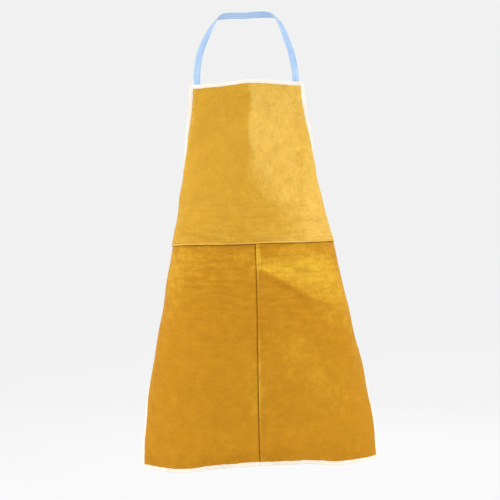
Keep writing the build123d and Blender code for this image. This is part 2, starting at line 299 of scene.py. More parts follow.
def brushed_tone_and_painted_light(along, drop):
    """How pale the leather looks over the hide's own colour: the brushed pile's own tone, with painted light
    and shade of folds, edges and seams.
    """
    pale = np.zeros(along.shape)
    for middle, low, half_along, half_drop, slant, strength in BRUSHED_AND_FOLD_LIGHT_PATCHES:
        turn = math.radians(slant)
        a = (along - middle) * math.cos(turn) + (drop - low) * math.sin(turn)
        d = (drop - low) * math.cos(turn) - (along - middle) * math.sin(turn)
        pale += strength * np.exp(-((a / half_along) ** 2) - (d / half_drop) ** 2)
    # Painted light: the bib is paler on the wearer's left, where the light falls, and the change wanders off
    # to that side lower down
    change = 0.004 + 0.085 * smooth(0.215, 0.34, drop) + 0.004 * np.sin(38 * drop)
    soft = 0.007 + 0.075 * smooth(0.14, 0.28, drop)
    painted_light_half = 0.84 * smooth(-1.0, 1.0, (along - change) / soft) * (drop < BIB_LENGTH + 0.0001)
    # Painted highlights: a pale line along the bib's raised lower edge, and a pale strip on the skirt beside
    # the centre seam
    tone_and_highlight = 0.7 * bump(BIB_LENGTH - drop, 0.001, 0.0028)
    tone_and_highlight = tone_and_highlight + 0.45 * bump(along, 0.003, 0.0026) * (drop > BIB_LENGTH)
    # Painted highlight along the sheet's side edges, strongest high up on the wearer's right
    rim = smooth(0.80, 1.0, np.abs(along) / edge_along(np.minimum(drop, HEM_DROP)))
    rim = rim * np.where(along < 0, 0.05 + 0.75 * smooth(0.42, 0.2, drop), 0.15) * smooth(0.85, 0.45, drop)
    return pale + painted_light_half + tone_and_highlight + rim


def leather_sheet(name, along, drop, face):
    """A closed sheet of leather over a grid of places, with its cut edges slightly rounded."""
    rows, columns = along.shape
    count = rows * columns
    front = place(along, drop, face)
    back = place(along, drop, face - LEATHER)
    rim = np.zeros(along.shape, bool)
    rim[0], rim[-1], rim[:, 0], rim[:, -1] = True, True, True, True
    middle = place(along, drop, face - LEATHER / 2)
    front[rim] += 0.25 * (middle[rim] - front[rim])
    back[rim] += 0.25 * (middle[rim] - back[rim])
    ring = [(0, c) for c in range(columns)] + [(r, columns - 1) for r in range(1, rows)]
    ring += [(rows - 1, c) for c in range(columns - 2, -1, -1)] + [(r, 0) for r in range(rows - 2, 0, -1)]
    ring = [r * columns + c for r, c in ring]
    points = np.concatenate([front.reshape(-1, 3), back.reshape(-1, 3)])
    uv = np.stack([along, -drop], axis=-1).reshape(-1, 2)
    faces = grid_faces(rows, columns, flip=True) + grid_faces(rows, columns, start=count)
    for a, b in zip(ring, ring[1:] + ring[:1]):
        faces.append((a, b, b + count, a + count))
    sheet = new_mesh(name, points, faces, np.concatenate([uv, uv]))
    pale = brushed_tone_and_painted_light(along, drop).ravel()
    values = {
        "brushed_tone_and_painted_light": np.concatenate([pale, 0.25 * pale - 0.15]),
        "outside": np.concatenate([np.ones(count), np.zeros(count)]),
    }
    for attribute, value in values.items():
        layer = sheet.data.attributes.new(attribute, "FLOAT", "POINT")
        layer.data.foreach_set("value", value.astype(np.float32))
    return sheet


def stepped(*parts):
    """Values in order from (low, high, step) stretches that follow on from each other."""
    values = []
    for low, high, step in parts:
        values += list(np.linspace(low, high, max(2, round((high - low) / step) + 1)))[:-1]
    return np.array(values + [parts[-1][1]])


def pucker(along_seam, seed):
    """Uneven small waves where a row of stitches gathers the leather, from -1 to 1."""
    rng = np.random.default_rng(seed)
    waves = [(rng.uniform(0.009, 0.024), rng.uniform(0, TURN)) for _ in range(5)]
    return sum(np.sin(2 * math.pi * along_seam / w + p) for w, p in waves) / len(waves) * 1.6


def groove(distance):
    """The hollow that a row of stitches draws into the leather."""
    return -0.00035 * bump(distance, 0.0, 0.0013)


# ---- Leather panels
WAIST_ROWS = (BIB_LENGTH - 0.005, BIB_LENGTH - 0.011)
CENTRE_ROWS = (0.005, 0.013)


def bib_relief(along, drop):
    """Seam grooves, puckers and the raised lower edge of the bib."""
    rise = BIB_LENGTH - drop
    relief = sum(groove(drop - row) for row in WAIST_ROWS)
    relief = relief + 0.00045 * pucker(along, 3) * smooth(0.022, 0.010, rise) * smooth(-0.001, 0.004, rise)
    relief = relief + 0.0014 * smooth(0.0055, 0.0, rise) * (0.8 + 0.4 * pucker(along, 5))
    return relief * smooth(HALF - 0.004, HALF - 0.016, np.abs(along))


def lap_relief(along, drop):
    """Seam grooves and puckers of the left skirt panel, where it laps over the right one."""
    relief = 0.0009 * smooth(0.027, 0.017, along) + sum(groove(along - row) for row in CENTRE_ROWS)
    return relief + 0.00095 * pucker(drop, 21) * smooth(0.024, 0.015, along) * smooth(0, 0.004, along)


drops = stepped((0, 0.010, 0.0016), (0.010, 0.264, 0.0042), (0.264, 0.290, 0.003),
                (0.290, 0.366, 0.0042), (0.366, BIB_LENGTH, 0.0013))
t = np.linspace(-1, 1, 145)
along = t[None, :] * edge_along(drops)[:, None]
drop = np.repeat(drops[:, None], len(t), axis=1)
face = BIB_FACE + bib_relief(along, drop)
bib_leather = leather_sheet("bib_leather", along, drop, face)


def skirt_leather(name, low, high, face, seed):
    """One skirt panel, from low to high across the sheet, tucked up behind the bib's lower edge."""
    drops = stepped((BIB_LENGTH - WAIST_LAP, BIB_LENGTH + 0.006, 0.0021), (BIB_LENGTH + 0.006, 0.888, 0.0046),
                    (0.888, HEM_DROP, 0.0015))
    seam_side = stepped((0, 0.024, 0.0015), (0.024, HALF, 0.0044))
    share = seam_side / HALF if high > HALF / 2 else seam_side[::-1] / HALF
    drop = np.repeat(drops[:, None], len(share), axis=1)
    edge = np.where(drop < BIB_LENGTH, HALF - 0.010, edge_along(drop))
    if high > HALF / 2:
        along = low + share[None, :] * (edge - low)
    else:
        along = high - share[None, :] * (edge + high)
    relief = lap_relief(along, drop) if high > HALF / 2 else 0
    fall = drop - BIB_LENGTH
    below = smooth(0.020, 0.004, fall) * smooth(-0.001, 0.004, fall)
    shoulder = (0.0003 + 0.0004 * pucker(along, seed)) * below
    return leather_sheet(name, along, drop, face + relief + shoulder)


skirt_leather_left = skirt_leather("skirt_leather_left", 0.0, HALF, SKIRT_LEFT_FACE, 22)
skirt_leather_right = skirt_leather("skirt_leather_right", -HALF, CENTRE_LAP, SKIRT_RIGHT_FACE, 32)


# ---- Paths on the sheet, as arrays of (along, drop)
def even_path(corners, step):
    """Evenly spaced places along a path."""
    corners = np.asarray(corners, float)
    lengths = np.linalg.norm(np.diff(corners, axis=0), axis=1)
    total = np.concatenate([[0], np.cumsum(lengths)])
    want = np.linspace(0, total[-1], max(2, round(total[-1] / step) + 1))
    return np.stack([np.interp(want, total, corners[:, k]) for k in range(2)], axis=1)


def inward(path):
    """The unit direction to the right of the path's way, seen from the front, on the flat sheet."""
    way = np.gradient(path, axis=0)
    way /= np.linalg.norm(way, axis=1)[:, None]
    return np.stack([-way[:, 1], way[:, 0]], axis=1)


def moved(path, distance):
    return path + inward(path) * np.broadcast_to(distance, len(path))[:, None]


def side_edge(side, low, high):
    """The sheet's edge on one side, between two drops, down the sheet."""
    drops = np.arange(low, high + 1e-9, 0.0005)
    return np.stack([side * edge_along(drops), drops], axis=1)


def corner_arc(side, centre, radius, first, last):
    """Part of a rounded corner, in degrees from straight out to the side towards straight down."""
    angle = np.radians(np.linspace(first, last, 24))
    return np.stack([side * (centre[0] + radius * np.cos(angle)), centre[1] + radius * np.sin(angle)], axis=1)


def path_length(path):
    return np.concatenate([[0], np.cumsum(np.linalg.norm(np.diff(path, axis=0), axis=1))])


# The bound edge's front half in section: inward from the edge, height over the leather in binding
# thicknesses, and how much it puckers. The row of stitches holds it down at its fourth point.
BOUND_STITCH_INSET = 0.0058
BOUND_STITCH_HIGH = 0.62
BOUND_SECTION = (
    (BINDING_WIDTH, 0.28, 1.0), (BINDING_WIDTH - 0.0003, 0.78, 1.0), (0.0072, 0.92, 0.6),
    (BOUND_STITCH_INSET, BOUND_STITCH_HIGH, 0.0), (0.0044, 0.92, 0.5), (0.0022, 1.0, 0.3),
    (0.0003, 0.9, 0.2), (-0.0006, 0.55, 0.1),
)


def bound_edge(name, path, face, seed, layer=LEATHER):
    """A tape folded over the edge of leather whose front is at face and whose thickness is layer."""
    count = len(path)
    length = path_length(path)
    rng = np.random.default_rng(seed)
    waves = (0.021, 0.047, 0.083)
    wobble = sum(0.00022 * np.sin(2 * math.pi * length / w + rng.uniform(0, TURN)) for w in waves)
    gather = 0.00022 * pucker(length, seed) + 0.00012 * np.cos(2 * math.pi * length / STITCH_PITCH)
    half = np.broadcast_to(np.asarray(layer, float) / 2, (count,))
    middle = np.broadcast_to(face, (count,)) - half
    clear = 0.00005
    section = [(d, half + h * BINDING + p * gather) for d, h, p in BOUND_SECTION]
    section.append((-0.0009, 0 * half))
    section += [(d, -half - h * BINDING - p * gather) for d, h, p in reversed(BOUND_SECTION)]
    section += [(BINDING_WIDTH, -half - clear), (0.0006, -half - clear), (0.00012, 0 * half),
                (0.0006, half + clear), (BINDING_WIDTH, half + clear)]
    points, uv = [], []
    across = np.cumsum([0] + [abs(b[0] - a[0]) + 0.0004 for a, b in zip(section, section[1:])])
    for (distance, height), far in zip(section, across):
        where = moved(path, distance + (wobble if distance > 0.005 else 0))
        points.append(place(where[:, 0], where[:, 1], middle + height))
        uv.append(np.stack([length, np.full(count, far)], axis=1))
    columns = len(section)
    first = tuple(range(columns))
    last = tuple((count - 1) * columns + c for c in reversed(range(columns)))
    faces = grid_faces(count, columns, wrap=True, flip=True) + [first, last]
    return new_mesh(name, np.stack(points, axis=1).reshape(-1, 3), faces, np.stack(uv, axis=1).reshape(-1, 2))


def stitches(name, rows, length=0.0031, radius=0.00034):
    """Rows of thread stitches. Each row is a path, its face, and 1 for the front or -1 for the back."""
    sides, rings = 6, 7
    angle = np.linspace(0, 2 * math.pi, sides, endpoint=False)
    t = np.linspace(0, 1, rings)
    high = 0.00042 * np.sin(math.pi * t) ** 0.6 - 0.00018
    thick = radius * np.sqrt(np.clip(1 - (2 * t - 1) ** 4, 0.16, 1))
    points, faces, uv = [], [], []
    for path, face, side in rows:
        face = np.broadcast_to(face, (len(path), 1, 1)) if np.ndim(face) else [face] * len(path)
        way = np.gradient(path, axis=0)
        way /= np.linalg.norm(way, axis=1)[:, None]
        rng = np.random.default_rng(len(path))
        for here, along_way, level in zip(path, way, face):
            lean = rng.normal(0, 0.05)
            direction = np.array([along_way[0] - lean * along_way[1], along_way[1] + lean * along_way[0]])
            across = np.array([direction[1], -direction[0]])
            reach = (t - 0.5)[:, None] * length * rng.uniform(0.93, 1.05)
            centre = here + reach * direction
            ring = centre[:, None, :] + (thick[:, None] * np.cos(angle))[..., None] * across
            height = high[:, None] + thick[:, None] * np.sin(angle)
            start = len(points) * rings * sides
            points.append(place(ring[..., 0], ring[..., 1], level + side * height).reshape(-1, 3))
            lengthwise = np.repeat(t[:, None] * length, sides, 1)
            uv.append(np.stack([lengthwise, np.tile(angle / TURN, (rings, 1))], -1))
            flip = side > 0
            faces += grid_faces(rings, sides, start=start, wrap=True, flip=flip)
            caps = (tuple(range(start + sides - 1, start - 1, -1)),
                    tuple(range(start + (rings - 1) * sides, start + rings * sides)))
            faces += [c if not flip else c[::-1] for c in caps]
    return new_mesh(name, np.concatenate(points), faces, np.concatenate([u.reshape(-1, 2) for u in uv]))


# ---- Bound edges, which all run clockwise round the apron as seen from the front
TOP_CORNER = (TOP_HALF - TOP_CORNER_RADIUS, TOP_CORNER_RADIUS)
HEM_CORNER = (HALF - HEM_CORNER_RADIUS, HEM_DROP - HEM_CORNER_RADIUS)
PATH_STEP = 0.0014


def joined(*stretches):
    return even_path(np.concatenate(stretches), PATH_STEP)


top_path = joined(
    corner_arc(-1, TOP_CORNER, TOP_CORNER_RADIUS, -45, -90),
    corner_arc(1, TOP_CORNER, TOP_CORNER_RADIUS, -90, -45),
)
bib_side = joined(
    corner_arc(1, TOP_CORNER, TOP_CORNER_RADIUS, -44, 0),
    side_edge(1, TOP_CORNER_RADIUS + 0.0005, BIB_LENGTH - 0.0006),
)
skirt_side = joined(
    side_edge(1, BIB_LENGTH + 0.0006, HEM_DROP - HEM_CORNER_RADIUS - 0.0005),
    corner_arc(1, HEM_CORNER, HEM_CORNER_RADIUS, 0, 44),
)
hem_path = joined(
    corner_arc(1, HEM_CORNER, HEM_CORNER_RADIUS, 45, 90),
    corner_arc(-1, HEM_CORNER, HEM_CORNER_RADIUS, 90, 45),
)


def mirrored(path):
    return (path * (-1, 1))[::-1]


def skirt_front(along):
    """The skirt's front face across the centre lap, where the left panel lies over the right."""
    step = smooth(-0.0015, 0.0015, along)
    raised = 0.0009 * smooth(0.027, 0.017, along) * step
    return SKIRT_RIGHT_FACE + (SKIRT_LEFT_FACE - SKIRT_RIGHT_FACE) * step + raised


def skirt_back(along):
    return SKIRT_LEFT_FACE - LEATHER + (SKIRT_RIGHT_FACE - SKIRT_LEFT_FACE) * smooth(0.0195, 0.0165, along)


hem_front = skirt_front(hem_path[:, 0])
hem_layer = hem_front - skirt_back(hem_path[:, 0])
top_bound = bound_edge("top_bound_edge", top_path, BIB_FACE, 41)
bib_bound_left = bound_edge("bib_bound_edge_left", bib_side, BIB_FACE, 42)
bib_bound_right = bound_edge("bib_bound_edge_right", mirrored(bib_side), BIB_FACE, 43)
skirt_bound_left = bound_edge("skirt_bound_edge_left", skirt_side, SKIRT_LEFT_FACE, 44)
skirt_bound_right = bound_edge("skirt_bound_edge_right", mirrored(skirt_side), SKIRT_RIGHT_FACE, 45)
hem_bound = bound_edge("hem_bound_edge", hem_path, hem_front, 46, hem_layer)


# ---- Rows of stitches
BOX_STITCH = 0.0024
BOUND_STITCH_FACE = BOUND_STITCH_HIGH * BINDING


def row_between(start, end):
    return even_path((start, end), STITCH_PITCH)


def bound_rows(path, face, layer=LEATHER):
    """The row of stitches through a bound edge, front and back."""
    row = even_path(moved(path, BOUND_STITCH_INSET), STITCH_PITCH)[1:-1]
    return [(row, face + BOUND_STITCH_FACE, 1), (row, face - layer - BOUND_STITCH_FACE, -1)]


# The waist rows in three stretches: over the right panel, over the lap of both and over the left panel
ROW_END = 0.2905
RIGHT_STRETCH = (-ROW_END, -0.0005)
LAP_STRETCH = (0.0037, 0.0163)
LEFT_STRETCH = (0.0205, ROW_END)
waist_rows = []
for row_drop in WAIST_ROWS:
    right, lap, left = (row_between((start, row_drop), (end, row_drop))
                        for start, end in (RIGHT_STRETCH, LAP_STRETCH, LEFT_STRETCH))
    row = np.concatenate([right, lap, left])
    level = BIB_FACE + bib_relief(row[:, :1], row[:, 1:])[:, :, None] + 0.0001
    waist_rows += [(row, level, 1), (right, SKIRT_RIGHT_FACE - LEATHER, -1)]
    waist_rows += [(lap, SKIRT_RIGHT_FACE - LEATHER, -1), (left, SKIRT_LEFT_FACE - LEATHER, -1)]
waist_thread = stitches("waist_seam_thread", waist_rows)

centre_rows = []
for row_along in CENTRE_ROWS:
    row = row_between((row_along, BIB_LENGTH + 0.003), (row_along, HEM_DROP - 0.0102))
    level = SKIRT_LEFT_FACE + lap_relief(row[:, :1], row[:, 1:])[:, :, None] + 0.0001
    centre_rows += [(row, level, 1), (row, SKIRT_RIGHT_FACE - LEATHER, -1)]
centre_thread = stitches("centre_seam_thread", centre_rows)

top_thread = stitches("top_edge_thread", bound_rows(top_path, BIB_FACE))
bib_thread_left = stitches("bib_edge_thread_left", bound_rows(bib_side, BIB_FACE))
bib_thread_right = stitches("bib_edge_thread_right", bound_rows(mirrored(bib_side), BIB_FACE))
skirt_thread_left = stitches("skirt_edge_thread_left", bound_rows(skirt_side, SKIRT_LEFT_FACE))
skirt_thread_right = stitches("skirt_edge_thread_right", bound_rows(mirrored(skirt_side), SKIRT_RIGHT_FACE))
hem_row = even_path(moved(hem_path, BOUND_STITCH_INSET), STITCH_PITCH)
hem_thread = stitches("hem_edge_thread", [
    (hem_row, skirt_front(hem_row[:, :1])[:, :, None] + BOUND_STITCH_FACE, 1),
    (hem_row, skirt_back(hem_row[:, :1])[:, :, None] - BOUND_STITCH_FACE, -1),
])


def stitched_box(name, centre, half_along, half_drop, back_face):
    """A box of stitches with a cross in it, front and back."""
    signs = ((-1, -1), (1, -1), (1, 1), (-1, 1))
    corners = [(centre[0] + a * half_along, centre[1] + d * half_drop) for a, d in signs]
    sides = list(zip(corners, corners[1:] + corners[:1]))
    crosses = [(corners[0], corners[2]), (corners[1], corners[3])]
    rows = []
    for start, end in sides + crosses:
        line = even_path((start, end), STITCH_PITCH * 0.72)
        inner = line[1:-1] if len(line) > 3 else line
        rows += [(inner, -0.0002, 1), (inner, back_face, -1)]
    return stitches(name, rows, length=BOX_STITCH)


STRAP_FOOT = 0.119
STRAP_FACE = -LEATHER - BINDING - 0.0003 - TAPE / 2
STRAP_BACK = STRAP_FACE - TAPE / 2
TIE_DROP = 0.287
TIE_FACE = -LEATHER - BINDING - 0.0001 - TAPE / 2
TIE_BACK = TIE_FACE - TAPE / 2
BOX_DROP = 0.0185
BOX_ALONG = 0.2815
BOX_SHORT, BOX_LONG = 0.0056, 0.0078
strap_box_left = stitched_box("strap_box_left", (STRAP_FOOT, BOX_DROP), BOX_SHORT, BOX_LONG, STRAP_BACK)
strap_box_right = stitched_box("strap_box_right", (-STRAP_FOOT, BOX_DROP), BOX_SHORT, BOX_LONG, STRAP_BACK)
tie_box_left = stitched_box("tie_box_left", (BOX_ALONG, TIE_DROP), BOX_LONG, BOX_SHORT, TIE_BACK)
tie_box_right = stitched_box("tie_box_right", (-BOX_ALONG, TIE_DROP), BOX_LONG, BOX_SHORT, TIE_BACK)


# ---- Tapes
def smooth_route(points, step):
    """An even Catmull-Rom curve through the points."""
    p = np.asarray(points, float)
    p = np.concatenate([[2 * p[0] - p[1]], p, [2 * p[-1] - p[-2]]])
    t = np.linspace(0, 1, 24, endpoint=False)[:, None]
    spans = [
        0.5 * (2 * b + (c - a) * t + (2 * a - 5 * b + 4 * c - d) * t**2 + (3 * b - a - 3 * c + d) * t**3)
        for a, b, c, d in zip(p, p[1:], p[2:], p[3:])
    ]
    return even_route(np.concatenate(spans + [p[-2:-1]]), step)


def even_route(points, step):
    total = path_length(points)
    want = np.linspace(0, total[-1], max(2, round(total[-1] / step) + 1))
    return np.stack([np.interp(want, total, points[:, k]) for k in range(3)], axis=1)


def unit(v):
    return v / np.linalg.norm(v, axis=-1, keepdims=True)


def tape_along(name, route, across, width=TAPE_WIDTH, cup=0.0, pinch=1.0, seed=1):
    """A flat woven tape: across gives the way that its width lies at each point of the route.

    Cup is how far its middle stands out, and pinch its share of the full width, along the route."""
    way = unit(np.gradient(route, axis=0))
    across = unit(across - (across * way).sum(1, keepdims=True) * way)
    normal = np.cross(across, way)
    length = path_length(route)
    rng = np.random.default_rng(seed)
    waves = [(rng.uniform(0.03, 0.09), rng.uniform(0, TURN)) for _ in range(3)]
    sway = sum(np.sin(2 * math.pi * length / w + p) for w, p in waves) / 3
    left_half = [-1, -0.985, -0.9, -0.75, -0.6, -0.45, -0.3, -0.15]
    side = np.array(left_half + [0] + [-s for s in reversed(left_half)])
    half = TAPE / 2 * np.interp(np.abs(side), [0, 0.6, 0.9, 0.985, 1], [1, 0.95, 1.0, 0.75, 0.35])
    loop_side = np.concatenate([side, side[::-1]])
    loop_high = np.concatenate([half, -half[::-1]])
    pinch = np.broadcast_to(pinch, len(route))[:, None]
    reach = (width / 2) * loop_side * (1 + 0.012 * sway[:, None]) * pinch
    gathers = 0.0042 * (1 - pinch) * np.cos(7.5 * loop_side + 1.0)
    high = loop_high + cup * (1 - loop_side**2) + 0.0003 * sway[:, None] * loop_side + gathers
    points = route[:, None, :] + across[:, None, :] * reach[..., None] + normal[:, None, :] * high[..., None]
    count, columns = len(route), len(loop_side)
    uv = np.stack(np.broadcast_arrays(length[:, None], width / 2 * loop_side), axis=-1).reshape(-1, 2)
    faces = grid_faces(count, columns, wrap=True)
    faces += [tuple(reversed(range(columns))), tuple((count - 1) * columns + c for c in range(columns))]
    return new_mesh(name, points.reshape(-1, 3), faces, uv)


# The neck strap above the bib, on the wearer's left: each point, and the way that its face looks
STRAP_ROUTE = (
    ((0.1175, -0.1815, -0.176), (0.20, -0.97, 0.10)),
    ((0.1090, -0.1650, -0.124), (0.15, -0.93, 0.33)),
    ((0.0930, -0.1310, -0.078), (0.25, -0.72, 0.64)),
    ((0.0770, -0.0880, -0.038), (0.50, -0.40, 0.77)),
    ((0.0650, -0.0500, -0.015), (0.75, 0.05, 0.65)),
    ((0.0470, -0.0200, -0.004), (0.70, 0.60, 0.35)),
    ((0.0230, -0.0040, 0.000), (0.33, 0.92, 0.20)),
)
STRAP_NAPE = ((0.0, 0.0, 0.0), (0.0, 0.99, 0.15))
foot_turn = TOP_HALF / FORM[0, 2]
foot_look = (math.sin(foot_turn), -math.cos(foot_turn), 0.0)
strap_half = [(tuple(place(STRAP_FOOT, d, STRAP_FACE)), foot_look) for d in (0.029, 0.019, 0.009, 0.0)]
strap_half += list(STRAP_ROUTE)
strap_right = [((-p[0], p[1], p[2]), (-n[0], n[1], n[2])) for p, n in strap_half[::-1]]
strap_whole = strap_half + [STRAP_NAPE] + strap_right
strap_route = smooth_route([p for p, n in strap_whole], 0.003)
# It spreads wider round the neck on the wearer's left
wearer_left = smooth(-0.03, 0.08, strap_route[:, 0]) * smooth(-0.13, -0.01, strap_route[:, 2])
strap_route[:, 0] += 0.012 * wearer_left
strap_points = np.array([p for p, n in strap_whole])
nearest = path_length(strap_points) / path_length(strap_points)[-1]
want = np.linspace(0, 1, len(strap_route))
strap_look = np.stack([np.interp(want, nearest, [n[k] for p, n in strap_whole]) for k in range(3)], axis=1)
strap_across = np.cross(np.gradient(strap_route, axis=0), strap_look)
neck_tape = tape_along("neck_tape", strap_route, strap_across, cup=0.0004, seed=51)

# The waist ties, from the bib's side corners round the back to the knot
knot_low, knot_high = (Vector(v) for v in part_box("tie_knot"))
knot = np.array((knot_low + knot_high) / 2)
TIE_BACK_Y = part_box("waist_tie_left")[1][1] - TAPE / 2
_, front_radius, front_arc, flank_radius = (float(v) for v in form_at(TIE_DROP))
edge_turn = front_arc / front_radius + (HALF - front_arc) / flank_radius
edge_point = place(HALF, TIE_DROP, TIE_FACE)
back_radius = edge_point[0] / math.sin(edge_turn)
KNOT_TURN = 0.045
back_turns = np.linspace(edge_turn, math.pi - KNOT_TURN, 12)[1:]
tie_points = [place(u, TIE_DROP, TIE_FACE) for u in (0.270, 0.280, 0.290, 0.299)]
arc_y = edge_point[1] + back_radius * (math.cos(edge_turn) - np.cos(back_turns))
share = np.linspace(0, 1, len(back_turns))
arc_y = arc_y + share * (TIE_BACK_Y - arc_y[-1])
arc_z = BIB_TOP_Z - TIE_DROP + 0.0008 - 0.004 * np.sin(share * math.pi)
tie_points += list(np.stack([back_radius * np.sin(back_turns), arc_y, arc_z], axis=1))
tie_route = smooth_route(tie_points, 0.003)
up = np.array((0.0, 0.0, 1.0))
lean = np.linspace(0, 1, len(tie_route))[:, None]
tie_across = up + 0.10 * np.sin(lean * 9) * np.array((0.4, 0.7, 0.0))
# Its last two points turn into the knot
tie_z = tie_route[-1][2]
into_knot = [(0.0045, TIE_BACK_Y + 0.0040, tie_z), (0.0, TIE_BACK_Y + 0.0055, tie_z)]
tie_route = np.concatenate([tie_route, into_knot])
tie_across = np.concatenate([tie_across, tie_across[-1:], tie_across[-1:]])
tie_pinch = 1 - 0.42 * smooth(0.045, 0.006, tie_route[:, 0]) * (tie_route[:, 1] > 0)
tie_tape_left = tape_along("tie_tape_left", tie_route, tie_across, pinch=tie_pinch, seed=52)
mirror = (-1, 1, 1)
right_across = -tie_across * mirror
tie_tape_right = tape_along("tie_tape_right", tie_route * mirror, right_across, pinch=tie_pinch, seed=53)


# A bow loop from the knot and back to it: how far out each point is, and how far back from the wearer
LOOP_SHAPE = (
    (0.000, -0.0005), (0.010, 0.0045), (0.022, 0.0090), (0.048, 0.0140), (0.076, 0.0150), (0.098, 0.0115),
    (0.1065, 0.0040), (0.097, -0.0030), (0.074, -0.0045), (0.046, -0.0030), (0.022, -0.0015),
    (0.009, -0.0010), (0.000, -0.0035),
)


def bow_loop(name, side, droop, seed):
    """One loop of the bow, which leaves the knot, falls outward and comes back in."""
    out = np.array((side * math.cos(droop), 0.0, -math.sin(droop)))
    back = np.array((0.0, 1.0, 0.0))
    base = np.array((side * 0.001, knot[1] - 0.0005, knot[2] - 0.001))
    route = np.array([base + out * a + back * b - up * 0.9 * a**2 for a, b in LOOP_SHAPE])
    route = smooth_route(route, 0.0025)
    distance = path_length(route)
    share = distance / distance[-1]
    upright = np.cross(out, back) * side
    route = route + 0.0050 * np.sin(2 * math.pi * share)[:, None] * upright * np.sign(upright[2])
    twist = 0.35 * np.sin(2 * math.pi * share)[:, None] * back
    near = np.minimum(distance, distance[-1] - distance)
    pinch = 1 - 0.45 * smooth(0.042, 0.008, near)
    width = TAPE_WIDTH * 0.97
    return tape_along(name, route, upright + twist, width=width, cup=0.0005, pinch=pinch, seed=seed)


loop_left = bow_loop("bow_tape_left", 1, math.radians(38), 54)
loop_right = bow_loop("bow_tape_right", -1, math.radians(41), 55)


def bow_knot(name):
    """A turn of gathered tape round the crossing, narrow at its middle and open where the tapes come out."""
    around, columns = 64, 33
    angle = np.linspace(0, 2 * math.pi, around, endpoint=False)[:, None]
    side = np.linspace(-1, 1, columns)[None, :]
    size = np.array(knot_high - knot_low)
    # Gathers run round the knot, and its two lips flare and then tuck in at their edges
    gathers = 0.050 * np.cos(side * 9.5 + 0.7 * np.sin(angle + 0.6))
    gathers = gathers + 0.028 * np.cos(side * 21 + 1.2 + 1.3 * np.sin(angle))
    lip = 0.10 * np.exp(-(((np.abs(side) - 0.86) / 0.16) ** 2))
    tucked = np.where(np.abs(side) > 0.93, 1 - 3.2 * (np.abs(side) - 0.93), 1.0)
    radius = (0.90 + gathers * (1 - 0.6 * side**4) + lip) * tucked
    y = knot[1] + 0.0015 + 0.60 * size[1] * radius * np.cos(angle)
    z = knot[2] + 0.50 * size[2] * radius * np.sin(angle) * (1 + 0.05 * np.cos(2 * angle + 0.8))
    x = 0.0082 * side * (1 + 0.10 * np.sin(angle + 0.9)) + 0.0009 * np.sin(angle * 2 + 0.4)
    points = np.stack([x, y, z], axis=-1).reshape(-1, 3)
    u = np.broadcast_to(np.abs(angle - math.pi) * 0.010, (around, columns))
    uv = np.stack([u, np.broadcast_to(side * TAPE_WIDTH / 2, (around, columns))], axis=-1).reshape(-1, 2)
    faces = []
    for r in range(around):
        for c in range(columns - 1):
            a, b = r * columns + c, ((r + 1) % around) * columns + c
            faces.append((a, b, b + 1, a + 1))
    for column, order in ((0, -1), (columns - 1, 1)):
        faces.append(tuple(r * columns + column for r in range(around))[::order])
    return new_mesh(name, points, faces, uv)


knot_tape = bow_knot("knot_tape")


def tie_tail(name, side, seed):
    """The tie's end, hanging from the knot."""
    low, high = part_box(f"tie_tail_{'left' if side > 0 else 'right'}")
    rng = np.random.default_rng(seed)
    top, bottom = high[2] + 0.006, low[2]
    t = np.linspace(0, 1, 9)
    y = low[1] + TAPE / 2 + 0.011 * np.sin(math.pi * t) + 0.002 * (side > 0)
    x = side * (0.0060 + 0.009 * t**0.5 + 0.003 * np.sin(4.2 * t + side)) + rng.normal(0, 0.0006, 9)
    route = smooth_route(np.stack([x, y, top + (bottom - top) * t], axis=1), 0.003)
    turn = 0.30 * side * np.sin(np.linspace(0, 5.0, len(route)))[:, None]
    across = np.cos(turn) * np.array((1.0, 0, 0)) + np.sin(turn) * np.array((0, 1.0, 0))
    pinch = 1 - 0.40 * smooth(0.040, 0.004, path_length(route))
    return tape_along(name, route, across, cup=0.0003, pinch=pinch, seed=seed), route


tail_left, tail_left_route = tie_tail("tail_tape_left", 1, 56)
tail_right, tail_right_route = tie_tail("tail_tape_right", -1, 57)


